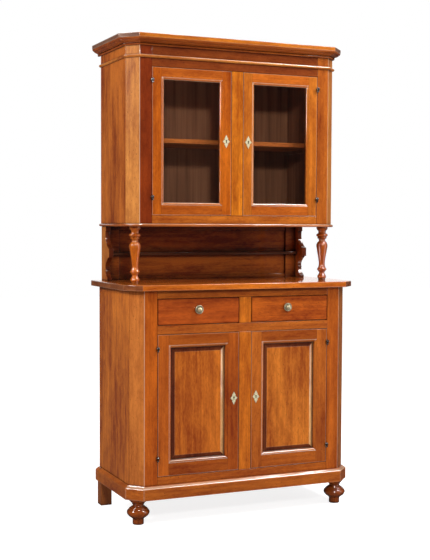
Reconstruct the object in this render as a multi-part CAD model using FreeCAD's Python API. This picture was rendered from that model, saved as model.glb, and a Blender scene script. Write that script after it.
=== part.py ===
import FreeCAD, Part
import math
import os

from FreeCAD import Matrix, Vector

os.makedirs("parts", exist_ok=True)

# Two-part dresser with hutch, canted front corners, in millimetres.
# x runs across the front, y runs from the front (negative) to the wall, z runs up from the floor.
# The origin is on the floor, at the middle of the plan rectangle that holds the whole piece.

# Plan of the base and of the hutch
BASE_WIDTH = 1028.0
BASE_CANT = 50.0             # leg of the 45 degree corner, measured along the front
HUTCH_INSET = 14.5           # the hutch's side stands in from the base's side
HUTCH_DEPTH = 378.5
HUTCH_CANT = 47.5
SKIRTING_SPACE = 20.0        # the base's back stands this far in front of the hutch's back
WALL = 24.0                  # sides, corner posts, front rails and doors
BOARD = 18.0                 # floors inside the base and the hutch
BACK_BOARD = 8.0

# Heights, from the floor up
FOOT_HEIGHT = 108.5
PLINTH_HEIGHT = 58.5
BASE_BOTTOM_RAIL = 33.5
BASE_DOOR_OPENING = 603.0
BASE_MID_RAIL = 37.0
DRAWER_OPENING = 113.0
BASE_TOP_RAIL = 34.0
COUNTER_THICKNESS = 25.0
NICHE_HEIGHT = 242.0
HUTCH_BASE_THICKNESS = 12.5
HUTCH_BOTTOM_RAIL = 35.5
HUTCH_DOOR_OPENING = 627.0
HUTCH_FRIEZE = 114.0
CORNICE_THICKNESS = 18.5

# Front members
BASE_POST_FACE = 58.0
BASE_STILE = 57.0
HUTCH_POST_FACE = 54.5
HUTCH_STILE = 54.0
STOP_LAP = 9.0               # the strip behind each centre stile that the doors close on
STOP_THICKNESS = 9.0
V_JOINT = 1.2                # small bevel that shows where a rail meets a post

# Plinth, countertop, hutch base board, bead and cornice
PLINTH_OVERHANG = 19.0
PLINTH_INNER = 21.0
PLINTH_EDGE_DROP = 13.0
PLINTH_BACK_RAIL = 22.0
COUNTER_OVERHANG = 32.5
COUNTER_CANT = 64.0
COUNTER_ROUND = 3.0
HUTCH_BASE_OVERHANG = 9.0
HUTCH_BASE_ROUND = 5.5
BEAD_ABOVE_DOOR = 34.5
BEAD_HEIGHT = 13.0
BEAD_PROJECTION = 8.8
CORNICE_OVERHANG = 35.0
CORNICE_BACK_OVERHANG = 18.0
CORNICE_ROUND = 2.5
CORNICE_MOULDING_HEIGHT = 29.0
CORNICE_LIP = 1.5            # the board's edge beyond the moulding

# Feet
FRONT_FOOT_FROM_SIDE = 39.0
FRONT_FOOT_FROM_FRONT = 44.0
FOOT_STUB_RADIUS = 23.7
FOOT_BULB_RADIUS = 48.2
FOOT_BULB_CENTRE = 52.0      # above the floor
FOOT_COLLAR_RADIUS = 37.5
FOOT_NECK_RADIUS = 23.0
FOOT_HEAD_RADIUS = 38.5
REAR_FOOT_SIZE = 50.0
REAR_FOOT_OUT = 11.0         # beyond the base's side, under the plinth
REAR_FOOT_FROM_BACK = 6.0

# Niche between countertop and hutch
BALUSTER_FROM_SIDE = 44.5
BALUSTER_FROM_FRONT = 50.5
BALUSTER_CAP_RADIUS = 25.6
BALUSTER_RING_RADIUS = 26.2
BALUSTER_NECK_RADIUS = 17.0
BALUSTER_VASE_RADIUS = 25.7
BALUSTER_WAIST_RADIUS = 14.2
BALUSTER_LOWER_RING_RADIUS = 21.6
BALUSTER_BULB_RADIUS = 20.0
BALUSTER_UPPER_RING_DROP = 36.5  # below the hutch
BALUSTER_VASE_DROP = 83.5
BALUSTER_LOWER_RING_RISE = 49.0  # above the countertop
BRACKET_THICKNESS = 22.0
BRACKET_INSET = 2.5
BRACKET_HEAD = 62.0          # depths from the hutch's back
BRACKET_NECK = 53.0
BRACKET_NOSE = 102.0
BRACKET_FOOT = 80.0
BRACKET_NOSE_BOTTOM = 103.0  # heights above the countertop
BRACKET_NOSE_TOP = 144.0
BRACKET_STEP = 52.0
NICHE_PANEL_INSET = 12.0
NICHE_STILE_WIDTH = 52.0
NICHE_STILE_THICKNESS = 18.0
NICHE_STRIP_HEIGHT = 16.5
NICHE_STRIP_THICKNESS = 13.0
NICHE_SHELF_TOP = 123.5      # above the countertop
NICHE_SHELF_THICKNESS = 12.5
NICHE_SHELF_FRONT = 52.0     # from the hutch's back

# Hutch interior
LINING_THICKNESS = 12.0
LINING_INSET = 63.5          # the lining's inner face, from the hutch's side
HUTCH_BACK_INSET = 4.0
HUTCH_SHELF_TOP = 331.0      # above the hutch floor
HUTCH_SHELF_THICKNESS = 19.0
HUTCH_SHELF_SETBACK = 58.5   # from the hutch's front
BACK_BOARD_WIDTH = 361.0
BACK_JOINT_X = -13.0         # the joint nearest the middle
BATTEN = 15.0

# Base interior
BASE_SHELF_TOP = 290.0       # above the base floor
BASE_SHELF_THICKNESS = 18.0
BASE_SHELF_SETBACK = 80.0
RUNNER_THICKNESS = 18.0
RUNNER_REACH = 28.0          # under the drawer side
GUIDE_HEIGHT = 30.0
DRAWER_STOP = 8.0
DRAWER_STOP_WIDTH = 14.0

# Doors
REVEAL = 2.0                 # gap round every door and drawer front
DOOR_STOP_GAP = 0.3
BASE_DOOR_STILE = 50.0
BASE_DOOR_TOP_RAIL = 45.0
BASE_DOOR_BOTTOM_RAIL = 53.0
HUTCH_DOOR_STILE = 42.0
HUTCH_DOOR_TOP_RAIL = 40.0
HUTCH_DOOR_BOTTOM_RAIL = 41.5
MEMBER_V = 0.8
PANEL_MOULDING_WIDTH = 12.0
PANEL_MOULDING_DEPTH = 15.4
PANEL_TONGUE = 4.0
PANEL_GROOVE_DEPTH = 8.0
PANEL_PLAY = 0.3
PANEL_BEVEL = 18.0
PANEL_SHOULDER = 1.0
PANEL_FIELD_DEPTH = 10.3     # from the face of the door frame
GLASS_MOULDING_WIDTH = 10.8
GLASS_MOULDING_DEPTH = 7.4
GLASS_THICKNESS = 3.0
GLASS_PLAY = 0.2
GLAZING_BEAD_WIDTH = 9.0
GLAZING_BEAD_BACK = 5.0      # its width at the back of the door

# Drawers
DRAWER_SIDE = 12.0
DRAWER_BOTTOM = 6.0
DRAWER_BOTTOM_LIFT = 10.0
DRAWER_BOX_HEIGHT = 92.0
DRAWER_BOX_DEPTH = 385.0
DRAWER_BACK_SPACE = 32.8     # between the drawer box and the base's back boards
DRAWER_BOX_INSET = 2.5       # box side behind the end of the drawer front
SLIDE_CLEARANCE = 0.3
GUIDE_CLEARANCE = 0.5
KNOB_X_LEFT = -221.0
KNOB_X_RIGHT = 201.0
KNOB_ABOVE_RUNNER = 63.5
KNOB_LENGTH = 28.5
KNOB_RIM_RADIUS = 18.5
KNOB_DOME_RADIUS = 10.8

# Hinges, locks and escutcheons
HINGE_PROUD = 8.0            # hinge axis in front of the door's face
HINGE_BALL_RADIUS = 7.0
HINGE_ACORN_RADIUS = 4.6
HINGE_PIN_RADIUS = 2.0
HINGE_PIN_LENGTH = 10.0      # above the ball's lower end
HINGE_PIN_END_GAP = 0.4
HINGE_BALL_DROP = 3.3        # the ball's lower end below the hinge's middle
HINGE_KNUCKLE_GAP = 0.3
HINGE_RUNNING_CLEARANCE = 0.05
HINGE_LEAF = 0.9
HINGE_LEAF_HEIGHT = 40.0
HINGE_LEAF_WIDTH = 22.0
BASE_HINGE_FROM_TOP = 63.0   # from the top and the bottom of the door opening
BASE_HINGE_FROM_BOTTOM = 77.0
HUTCH_HINGE_FROM_TOP = 59.5
HUTCH_HINGE_FROM_BOTTOM = 74.5
ESCUTCHEON_HEIGHT = 58.0
ESCUTCHEON_WIDTH = 35.4
ESCUTCHEON_THICKNESS = 1.8
ESCUTCHEON_X = 53.0
BASE_ESCUTCHEON_ABOVE_OPENING = 315.5
HUTCH_ESCUTCHEON_ABOVE_OPENING = 322.0
KEYHOLE_RADIUS = 3.3
KEYHOLE_HEIGHT = 14.0
KEYHOLE_DEPTH = 14.0
LOCK_WIDTH = 30.0
LOCK_HEIGHT = 68.0
LOCK_THICKNESS = 11.0

# Places that follow from the sizes above
BASE_HALF = BASE_WIDTH / 2
HUTCH_HALF = BASE_HALF - HUTCH_INSET
DOOR_THICKNESS = WALL - DOOR_STOP_GAP
BASE_DEPTH = DOOR_THICKNESS + DRAWER_BOX_DEPTH + DRAWER_BACK_SPACE + BACK_BOARD
BASE_FRONT_TO_HUTCH_BACK = BASE_DEPTH + SKIRTING_SPACE
OVERALL_DEPTH = COUNTER_OVERHANG + BASE_FRONT_TO_HUTCH_BACK + CORNICE_BACK_OVERHANG
BASE_FRONT = COUNTER_OVERHANG - OVERALL_DEPTH / 2
HUTCH_BACK = BASE_FRONT + BASE_FRONT_TO_HUTCH_BACK
HUTCH_FRONT = HUTCH_BACK - HUTCH_DEPTH
BASE_BACK = HUTCH_BACK - SKIRTING_SPACE
CORNICE_BACK = HUTCH_BACK + CORNICE_BACK_OVERHANG

PLINTH_TOP = FOOT_HEIGHT + PLINTH_HEIGHT
BASE_DOOR_Z0 = PLINTH_TOP + BASE_BOTTOM_RAIL
BASE_DOOR_Z1 = BASE_DOOR_Z0 + BASE_DOOR_OPENING
DRAWER_Z0 = BASE_DOOR_Z1 + BASE_MID_RAIL
DRAWER_Z1 = DRAWER_Z0 + DRAWER_OPENING
BASE_TOP = DRAWER_Z1 + BASE_TOP_RAIL
COUNTER_TOP = BASE_TOP + COUNTER_THICKNESS
NICHE_TOP = COUNTER_TOP + NICHE_HEIGHT
HUTCH_BOTTOM = NICHE_TOP + HUTCH_BASE_THICKNESS
HUTCH_DOOR_Z0 = HUTCH_BOTTOM + HUTCH_BOTTOM_RAIL
HUTCH_DOOR_Z1 = HUTCH_DOOR_Z0 + HUTCH_DOOR_OPENING
HUTCH_TOP = HUTCH_DOOR_Z1 + HUTCH_FRIEZE
CORNICE_TOP = HUTCH_TOP + CORNICE_THICKNESS

BASE_OPENING_HALF = BASE_HALF - BASE_CANT - BASE_POST_FACE
HUTCH_OPENING_HALF = HUTCH_HALF - HUTCH_CANT - HUTCH_POST_FACE

SIDES = {"left": -1, "right": 1}


# ---------------------------------------------------------------- general shapes

def box(x0, x1, y0, y1, z0, z1):
    return Part.makeBox(x1 - x0, y1 - y0, z1 - z0, Vector(x0, y0, z0))


def prism(points, z0, z1):
    """Upright prism over a closed plan outline."""
    corners = [Vector(x, y, z0) for x, y in points]
    wire = Part.makePolygon(corners + corners[:1])
    return Part.Face(wire).extrude(Vector(0, 0, z1 - z0))


def to_side(shape, side):
    """Shapes are drawn on the right-hand side; the left one is their mirror image."""
    if side > 0:
        return shape
    return shape.mirror(Vector(0, 0, 0), Vector(1, 0, 0))


def save(name, *solids):
    shape = solids[0] if len(solids) == 1 else Part.makeCompound(list(solids))
    shape.exportStep("parts/" + name + ".step")


def arc(middle, end):
    return ("arc", middle, end)


def curve(*points):
    return ("curve",) + points


def outline_wire(start, steps, place):
    """Closed wire from a start point and steps: a plain pair is a straight line to it."""
    edges = []
    here = start
    for step in list(steps) + [start]:
        if step[0] == "arc":
            end = step[2]
            edges.append(Part.Arc(place(*here), place(*step[1]), place(*end)).toShape())
        elif step[0] == "curve":
            end = step[-1]
            spline = Part.BSplineCurve()
            spline.interpolate([place(*here)] + [place(*point) for point in step[1:]])
            edges.append(spline.toShape())
        else:
            end = step
            if math.dist(here, end) < 1e-6:
                continue
            edges.append(Part.makeLine(place(*here), place(*end)))
        here = end
    return Part.Wire(edges)


def turned(x, y, start, *steps):
    """Solid of revolution about an upright axis; points are (radius, height)."""
    wire = outline_wire(start, steps, lambda r, z: Vector(x + r, y, z))
    return Part.Face(wire).revolve(Vector(x, y, 0), Vector(0, 0, 1), 360)


def canted_outline(half_width, front, back, cant, out=0.0):
    """Plan of a carcase with canted front corners, moved outwards by out on its seen sides."""
    half = half_width + out
    edge = front - out
    leg = cant + out * (2 - math.sqrt(2))
    return [
        (-half, back), (-half, edge + leg), (-half + leg, edge),
        (half - leg, edge), (half, edge + leg), (half, back),
    ]


def base_plan(out=0.0, back=BASE_BACK):
    return canted_outline(BASE_HALF, BASE_FRONT, back, BASE_CANT, out)


def hutch_plan(out=0.0, back=HUTCH_BACK):
    return canted_outline(HUTCH_HALF, HUTCH_FRONT, back, HUTCH_CANT, out)


def mitred_lengths(path, start, steps, closed=False):
    """Lengths of one moulding along a path, mitred where they meet.

    The profile's points are (distance to the right of the path, height).
    """
    count = len(path)
    spans = count if closed else count - 1
    normals = []
    for i in range(spans):
        (x0, y0), (x1, y1) = path[i], path[(i + 1) % count]
        length = math.hypot(x1 - x0, y1 - y0)
        normals.append(((y1 - y0) / length, (x0 - x1) / length))

    def mitre(i):
        if not closed and i in (0, spans):
            return normals[min(i, spans - 1)]
        before, after = normals[i - 1], normals[i % spans]
        sx, sy = before[0] + after[0], before[1] + after[1]
        scale = 1 / (sx * after[0] + sy * after[1])
        return (sx * scale, sy * scale)

    reach = 2 * max(abs(point[0]) for point in flat_points([start] + list(steps))) + 1
    heights = [point[1] for point in flat_points([start] + list(steps))]
    lengths = []
    for i in range(spans):
        (x0, y0), (x1, y1) = path[i], path[(i + 1) % count]
        nx, ny = normals[i]
        tx, ty = -ny, nx
        wire = outline_wire(start, steps, lambda d, h: Vector(
            x0 - tx * reach + nx * d, y0 - ty * reach + ny * d, h))
        run = math.hypot(x1 - x0, y1 - y0) + 2 * reach
        bar = Part.Face(wire).extrude(Vector(tx * run, ty * run, 0))
        (ax, ay), (bx, by) = mitre(i), mitre(i + 1)
        block = prism([
            (x0 + ax * reach, y0 + ay * reach), (x1 + bx * reach, y1 + by * reach),
            (x1 - bx * reach, y1 - by * reach), (x0 - ax * reach, y0 - ay * reach),
        ], min(heights) - 1, max(heights) + 1)
        lengths.append(bar.common(block).Solids[0])
    return lengths


def flat_points(steps):
    """Every point named in a profile's steps."""
    points = []
    for step in steps:
        points += [step] if isinstance(step[0], float) else list(step[1:])
    return points


def stood_up(solids, front):
    """Turns a moulding drawn lying flat so that its height points to the front."""
    turn = Matrix()
    turn.rotateX(math.pi / 2)
    turn.move(Vector(0, front, 0))
    return [solid.transformGeometry(turn) for solid in solids]


def rail(x0, x1, front, thickness, z0, z1, bevel=V_JOINT):
    """Level member whose front end edges are bevelled where it meets the uprights."""
    back = front + thickness
    return prism([
        (x0 + bevel, front), (x1 - bevel, front), (x1, front + bevel),
        (x1, back), (x0, back), (x0, front + bevel),
    ], z0, z1)


def upright(x0, x1, front, thickness, z0, z1, bevel=V_JOINT):
    """Upright member whose front end edges are bevelled where it meets the rails."""
    points = [
        (front, z0 + bevel), (front + bevel, z0), (front + thickness, z0),
        (front + thickness, z1), (front + bevel, z1), (front, z1 - bevel),
    ]
    corners = [Vector(x0, y, z) for y, z in points]
    wire = Part.makePolygon(corners + corners[:1])
    return Part.Face(wire).extrude(Vector(x1 - x0, 0, 0))


def rounded(shape, radius, back):
    """Rounds the level edges of a board, but not those along its back."""
    z0, z1 = shape.BoundBox.ZMin, shape.BoundBox.ZMax
    edges = []
    for edge in shape.Edges:
        bounds = edge.BoundBox
        level = bounds.ZLength < 1e-6 and (abs(bounds.ZMin - z0) < 1e-6 or abs(bounds.ZMin - z1) < 1e-6)
        at_back = bounds.YMin > back - 1e-6
        if level and not at_back:
            edges.append(edge)
    return shape.makeFillet(radius, edges)


# ---------------------------------------------------------------- carcase walls

def side_and_post(plan, inner, opening_half, z0, z1):
    """Right-hand side board and canted corner post, mitred together at the side's arris."""
    outer_back, outer_arris, front_arris = plan[5], plan[4], plan[3]
    inner_back, inner_arris, inner_front = inner[5], inner[4], inner[3]
    side = prism([outer_arris, outer_back, inner_back, inner_arris], z0, z1)
    post = prism([
        outer_arris, front_arris, (opening_half, front_arris[1]),
        (opening_half, inner_front[1]), inner_front, inner_arris,
    ], z0, z1)
    return side, post


def carcase(prefix, plan, inner, opening_half, z0, z1):
    side_board, post = side_and_post(plan, inner, opening_half, z0, z1)
    for name, side in SIDES.items():
        save(f"{prefix}_side_{name}", to_side(side_board, side))
        save(f"{prefix}_post_{name}", to_side(post, side))


def centre_stile(width, front, z0, z1):
    """Stile between the doors, with the strip behind it that both doors close on."""
    half = width / 2
    stile = upright(-half, half, front, WALL, z0, z1)
    lap = half + STOP_LAP
    strip = box(-lap, lap, front + WALL, front + WALL + STOP_THICKNESS, z0, z1)
    return stile, strip


def back_boards(half, y0, z0, z1):
    """Upright boards closing the back, set edge to edge."""
    first = -math.floor((BACK_JOINT_X + half) / BACK_BOARD_WIDTH)
    last = math.floor((half - BACK_JOINT_X) / BACK_BOARD_WIDTH)
    joints = [BACK_JOINT_X + i * BACK_BOARD_WIDTH for i in range(first, last + 1)]
    edges = [-half] + joints + [half]
    return [box(left, right, y0, y0 + BACK_BOARD, z0, z1) for left, right in zip(edges, edges[1:])]


def battens(half, y0, y1, top):
    """Pair of strips that carry a shelf, one on each side wall."""
    strip = box(half - BATTEN, half, y0, y1, top - BATTEN, top)
    return [to_side(strip, side) for side in SIDES.values()]


# ---------------------------------------------------------------- base

BASE_INNER = base_plan(-WALL)
BASE_INNER_HALF = BASE_HALF - WALL
BASE_INNER_FRONT = BASE_FRONT + WALL
BASE_BACK_FACE = BASE_BACK - BACK_BOARD
BASE_SHELF_Z = BASE_DOOR_Z0 + BASE_SHELF_TOP

carcase("base", base_plan(), BASE_INNER, BASE_OPENING_HALF, PLINTH_TOP, BASE_TOP)
for rail_name, rail_z0, rail_z1 in (
    ("base_bottom_rail", PLINTH_TOP, BASE_DOOR_Z0),
    ("base_mid_rail", BASE_DOOR_Z1, DRAWER_Z0),
    ("base_top_rail", DRAWER_Z1, BASE_TOP),
):
    save(rail_name, rail(-BASE_OPENING_HALF, BASE_OPENING_HALF, BASE_FRONT, WALL, rail_z0, rail_z1))

DRAWER_DIVIDER = upright(-BASE_STILE / 2, BASE_STILE / 2, BASE_FRONT, WALL, DRAWER_Z0, DRAWER_Z1)
save("base_centre_stiles", DRAWER_DIVIDER,
     *centre_stile(BASE_STILE, BASE_FRONT, BASE_DOOR_Z0, BASE_DOOR_Z1))
save("base_floor", prism(base_plan(-WALL, BASE_BACK_FACE), BASE_DOOR_Z0 - BOARD, BASE_DOOR_Z0))
save("base_back_boards", *back_boards(BASE_INNER_HALF, BASE_BACK_FACE, PLINTH_TOP, BASE_TOP))
save("base_shelf", box(
    -BASE_INNER_HALF + PANEL_PLAY, BASE_INNER_HALF - PANEL_PLAY,
    BASE_FRONT + BASE_SHELF_SETBACK, BASE_BACK_FACE - PANEL_PLAY,
    BASE_SHELF_Z - BASE_SHELF_THICKNESS, BASE_SHELF_Z))


def drawer_runners():
    """Boards under and over the drawer sides, guide strips beside them, and shelf battens."""
    y0, y1 = BASE_INNER_FRONT, BASE_BACK_FACE
    outer = BASE_OPENING_HALF - REVEAL - DRAWER_BOX_INSET
    inner = BASE_STILE / 2 + REVEAL + DRAWER_BOX_INSET
    pieces = []
    for z0, z1 in ((DRAWER_Z0 - RUNNER_THICKNESS, DRAWER_Z0), (DRAWER_Z1, DRAWER_Z1 + RUNNER_THICKNESS)):
        beside = box(outer - RUNNER_REACH, BASE_INNER_HALF, y0, y1, z0, z1)
        beside = beside.common(prism(BASE_INNER, z0, z1))
        pieces += [to_side(beside, side) for side in SIDES.values()]
        pieces.append(box(-inner - RUNNER_REACH, inner + RUNNER_REACH, y0, y1, z0, z1))
    guide_top = DRAWER_Z0 + GUIDE_HEIGHT
    guide = box(outer + GUIDE_CLEARANCE, BASE_INNER_HALF, y0, y1, DRAWER_Z0, guide_top)
    guide = guide.common(prism(BASE_INNER, DRAWER_Z0, guide_top))
    pieces += [to_side(guide, side) for side in SIDES.values()]
    between = inner - GUIDE_CLEARANCE
    pieces.append(box(-between, between, y0, y1, DRAWER_Z0, guide_top))
    stop_x = inner + DRAWER_SIDE + REVEAL
    stop = box(stop_x, stop_x + DRAWER_STOP_WIDTH, y0, y0 + DRAWER_STOP, DRAWER_Z0, DRAWER_Z0 + DRAWER_STOP)
    pieces += [to_side(stop, side) for side in SIDES.values()]
    shelf_bottom = BASE_SHELF_Z - BASE_SHELF_THICKNESS
    shelf_front = BASE_FRONT + BASE_SHELF_SETBACK
    pieces += battens(BASE_INNER_HALF, shelf_front, BASE_BACK_FACE, shelf_bottom)
    return pieces


save("drawer_runners", *drawer_runners())


# ---------------------------------------------------------------- plinth, feet and countertop

PLINTH_OUT = PLINTH_OVERHANG
EDGE_START = (PLINTH_OUT, PLINTH_TOP - PLINTH_EDGE_DROP)


def plinth_edge(out):
    """Moulded upper edge of the plinth, from its upright face in to the carcase."""
    top = PLINTH_TOP
    drop = PLINTH_EDGE_DROP
    arris = (out - 0.04 * PLINTH_OVERHANG, top - 0.85 * drop)
    arris_end = (out - 0.14 * PLINTH_OVERHANG, top - 0.7 * drop)
    slope_end = (out - 0.62 * PLINTH_OVERHANG, top - 0.2 * drop)
    quirk = (out - 0.66 * PLINTH_OVERHANG, top - 0.1 * drop)
    return [curve(arris, arris_end), slope_end, quirk, (out - 0.94 * PLINTH_OVERHANG, top)]


def plinth():
    """Mitred front and side lengths, a back rail between grains, and blocks over the feet."""
    profile = [(PLINTH_OUT, FOOT_HEIGHT), EDGE_START]
    profile += plinth_edge(PLINTH_OUT) + [(-PLINTH_INNER, PLINTH_TOP)]
    path = base_plan(0.0, BASE_BACK - PLINTH_BACK_RAIL)
    pieces = mitred_lengths(path, (-PLINTH_INNER, FOOT_HEIGHT), profile)

    half = BASE_HALF
    right_edge = [(half + PLINTH_OUT, FOOT_HEIGHT), (half + PLINTH_OUT, EDGE_START[1])]
    right_edge += plinth_edge(half + PLINTH_OUT)
    y0 = BASE_BACK - PLINTH_BACK_RAIL
    wire = outline_wire((0.0, FOOT_HEIGHT), right_edge + [(0.0, PLINTH_TOP)], lambda x, z: Vector(x, y0, z))
    half_rail = Part.Face(wire).extrude(Vector(0, PLINTH_BACK_RAIL, 0))
    pieces.append(half_rail.fuse(to_side(half_rail, -1)).removeSplitter().Solids[0])

    inside = prism(base_plan(-PLINTH_INNER, BASE_BACK - PLINTH_BACK_RAIL), FOOT_HEIGHT, PLINTH_TOP)
    reach = 2 * PLINTH_INNER
    foot_x, foot_y = front_foot_place()
    inner_x = BASE_HALF - PLINTH_INNER
    front_block = box(
        foot_x - reach, inner_x, BASE_FRONT + PLINTH_INNER, foot_y + reach, FOOT_HEIGHT, PLINTH_TOP)
    rear_block = box(foot_x - reach, inner_x, y0 - reach, y0, FOOT_HEIGHT, PLINTH_TOP)
    for side in SIDES.values():
        pieces.append(to_side(front_block.common(inside), side))
        pieces.append(to_side(rear_block, side))
    return pieces


def front_foot_place():
    return BASE_HALF - FRONT_FOOT_FROM_SIDE, BASE_FRONT + FRONT_FOOT_FROM_FRONT


def front_foot():
    """Turned bun foot: flared stepped head, neck, two shallow rings, squat bulb and stub."""
    x, y = front_foot_place()
    top, middle = FOOT_HEIGHT, FOOT_BULB_CENTRE
    stub, bulb, collar = FOOT_STUB_RADIUS, FOOT_BULB_RADIUS, FOOT_COLLAR_RADIUS
    neck, head = FOOT_NECK_RADIUS, FOOT_HEAD_RADIUS
    return turned(
        x, y, (0.0, 0.0), (stub - 2.6, 0.0), arc((stub - 0.8, 0.8), (stub, 2.8)), (stub, middle - 28.0),
        (stub + 1.0, middle - 27.2),
        curve((bulb - 18.0, middle - 22.6), (bulb - 7.4, middle - 14.6), (bulb, middle),
              (bulb - 1.4, middle + 6.0), (bulb - 4.6, middle + 10.8)),
        (collar + 3.2, middle + 12.2), arc((collar + 2.4, middle + 15.2), (collar - 1.0, middle + 18.2)),
        (collar - 4.2, middle + 19.0), arc((neck + 9.0, middle + 21.8), (neck + 4.2, middle + 24.4)),
        (neck + 1.6, middle + 25.2), curve((neck, middle + 29.8), (neck + 1.4, middle + 34.0)),
        (neck + 3.0, middle + 34.8), curve((neck + 4.0, middle + 38.6), (head - 8.0, middle + 42.0)),
        (head - 6.6, middle + 42.8), curve((head - 4.4, top - 10.2), (head - 2.6, top - 7.4)),
        (head, top - 6.6), (head, top), (0.0, top))


def rear_foot():
    outer = BASE_HALF + REAR_FOOT_OUT
    y1 = BASE_BACK - REAR_FOOT_FROM_BACK
    return box(outer - REAR_FOOT_SIZE, outer, y1 - REAR_FOOT_SIZE, y1, 0, FOOT_HEIGHT)


save("plinth", *plinth())
save("feet_front", *[to_side(front_foot(), side) for side in SIDES.values()])
save("feet_rear", *[to_side(rear_foot(), side) for side in SIDES.values()])

COUNTER_PLAN = canted_outline(
    BASE_HALF + COUNTER_OVERHANG, BASE_FRONT - COUNTER_OVERHANG, HUTCH_BACK, COUNTER_CANT)
save("countertop", rounded(prism(COUNTER_PLAN, BASE_TOP, COUNTER_TOP), COUNTER_ROUND, HUTCH_BACK))


# ---------------------------------------------------------------- niche

def baluster():
    """Turned baluster: cap, neck, two rings, long vase, flared lower ring and bulb."""
    x = HUTCH_HALF - BALUSTER_FROM_SIDE
    y = HUTCH_FRONT + BALUSTER_FROM_FRONT
    low, top = COUNTER_TOP, NICHE_TOP
    cap, ring, neck = BALUSTER_CAP_RADIUS, BALUSTER_RING_RADIUS, BALUSTER_NECK_RADIUS
    vase, waist = BALUSTER_VASE_RADIUS, BALUSTER_WAIST_RADIUS
    lower, bulb = BALUSTER_LOWER_RING_RADIUS, BALUSTER_BULB_RADIUS
    upper_z, vase_z = top - BALUSTER_UPPER_RING_DROP, top - BALUSTER_VASE_DROP
    lower_z = low + BALUSTER_LOWER_RING_RISE
    bulb_steps = [
        (waist + 1.6, low), (waist + 1.6, low + 5.5), (waist + 2.8, low + 7.0),
        curve((bulb - 0.8, low + 11.0), (bulb, low + 15.5), (bulb - 1.6, low + 21.0),
              (waist - 0.6, low + 29.0), (waist - 1.8, low + 35.5)),
        (waist - 1.8, low + 37.5), curve((waist + 1.8, low + 39.0), (waist + 3.4, low + 42.0)),
    ]
    vase_steps = [
        (waist + 3.4, low + 43.5), (lower - 5.4, low + 44.3),
        curve((lower, lower_z - 1.0), (lower - 0.8, lower_z + 2.4), (waist + 2.6, lower_z + 8.5)),
        curve((waist, lower_z + 20.0), (waist + 1.2, lower_z + 43.0), (waist + 3.8, lower_z + 61.0),
              (vase - 4.8, lower_z + 77.0), (vase - 1.9, vase_z - 15.0), (vase, vase_z),
              (vase - 1.6, vase_z + 7.6), (vase - 4.8, vase_z + 13.6), (neck - 1.2, vase_z + 19.0)),
    ]
    head_steps = [
        (neck - 2.2, vase_z + 20.0), curve((neck - 2.6, vase_z + 24.5), (neck - 0.6, vase_z + 30.0)),
        (neck + 0.8, vase_z + 31.0), (ring - 5.6, upper_z - 15.0),
        arc((ring - 4.4, upper_z - 12.6), (ring - 5.8, upper_z - 10.2)), (ring - 7.2, upper_z - 9.0),
        (ring - 6.0, upper_z - 7.4), arc((ring, upper_z - 0.2), (ring - 6.0, upper_z + 7.0)),
        (neck + 0.8, upper_z + 8.2), curve((neck, upper_z + 13.5), (neck + 1.2, upper_z + 20.5)),
        (neck + 3.2, upper_z + 22.0), arc((cap - 2.2, upper_z + 26.0), (cap, upper_z + 30.5)),
        (cap, top), (0.0, top),
    ]
    return turned(x, y, (0.0, low), *bulb_steps, *vase_steps, *head_steps)


def bracket():
    """Scroll-sawn board standing between countertop and hutch, at each end of the niche."""
    low, top = COUNTER_TOP, NICHE_TOP
    x0 = HUTCH_HALF - BRACKET_INSET - BRACKET_THICKNESS
    head, neck, nose, foot = BRACKET_HEAD, BRACKET_NECK, BRACKET_NOSE, BRACKET_FOOT
    nose_bottom, nose_top = low + BRACKET_NOSE_BOTTOM, low + BRACKET_NOSE_TOP
    step = low + BRACKET_STEP
    wire = outline_wire((0.0, low), [
        (foot, low), (foot, low + 12.0),
        curve((foot - 12.0, low + 20.0), (neck + 5.0, step - 16.0), (neck, step - 3.0)),
        (neck + 5.0, step - 3.0), (neck + 5.0, step + 3.0), (neck, step + 3.0),
        curve((neck + 2.0, step + 17.0), (neck + 12.0, nose_bottom - 20.0), (nose - 14.0, nose_bottom - 3.0)),
        (nose - 14.0, nose_bottom), (nose, nose_bottom), (nose, nose_top), (nose - 12.0, nose_top),
        (nose - 12.0, nose_top + 3.0),
        curve((neck + 15.0, nose_top + 20.0), (neck + 2.0, nose_top + 42.0), (neck, nose_top + 60.0),
              (neck + 1.5, top - 25.0)),
        (neck + 1.5, top - 21.0), (head, top - 21.0), (head, top), (0.0, top),
    ], lambda d, z: Vector(x0, HUTCH_BACK - d, z))
    return Part.Face(wire).extrude(Vector(BRACKET_THICKNESS, 0, 0))


for side_name, side_sign in SIDES.items():
    save(f"baluster_{side_name}", to_side(baluster(), side_sign))
    save(f"niche_bracket_{side_name}", to_side(bracket(), side_sign))

NICHE_HALF = HUTCH_HALF - BRACKET_INSET - BRACKET_THICKNESS
NICHE_FRAME_BACK = HUTCH_BACK - NICHE_PANEL_INSET
NICHE_PANEL_FRONT = NICHE_FRAME_BACK - BACK_BOARD
NICHE_PANEL_HALF = NICHE_HALF - NICHE_STILE_WIDTH


def niche_back():
    """Level-grained panel between two stiles, with strips along its top and bottom."""
    panel_z0 = COUNTER_TOP + NICHE_STRIP_HEIGHT
    panel_z1 = NICHE_TOP - NICHE_STRIP_HEIGHT
    half, back = NICHE_PANEL_HALF, NICHE_FRAME_BACK
    pieces = [box(-half, half, NICHE_PANEL_FRONT, back, panel_z0, panel_z1)]
    for side in SIDES.values():
        stile = box(half, NICHE_HALF, back - NICHE_STILE_THICKNESS, back, COUNTER_TOP, NICHE_TOP)
        pieces.append(to_side(stile, side))
    for z0, z1 in ((COUNTER_TOP, panel_z0), (panel_z1, NICHE_TOP)):
        pieces.append(box(-half, half, back - NICHE_STRIP_THICKNESS, back, z0, z1))
    return pieces


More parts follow.
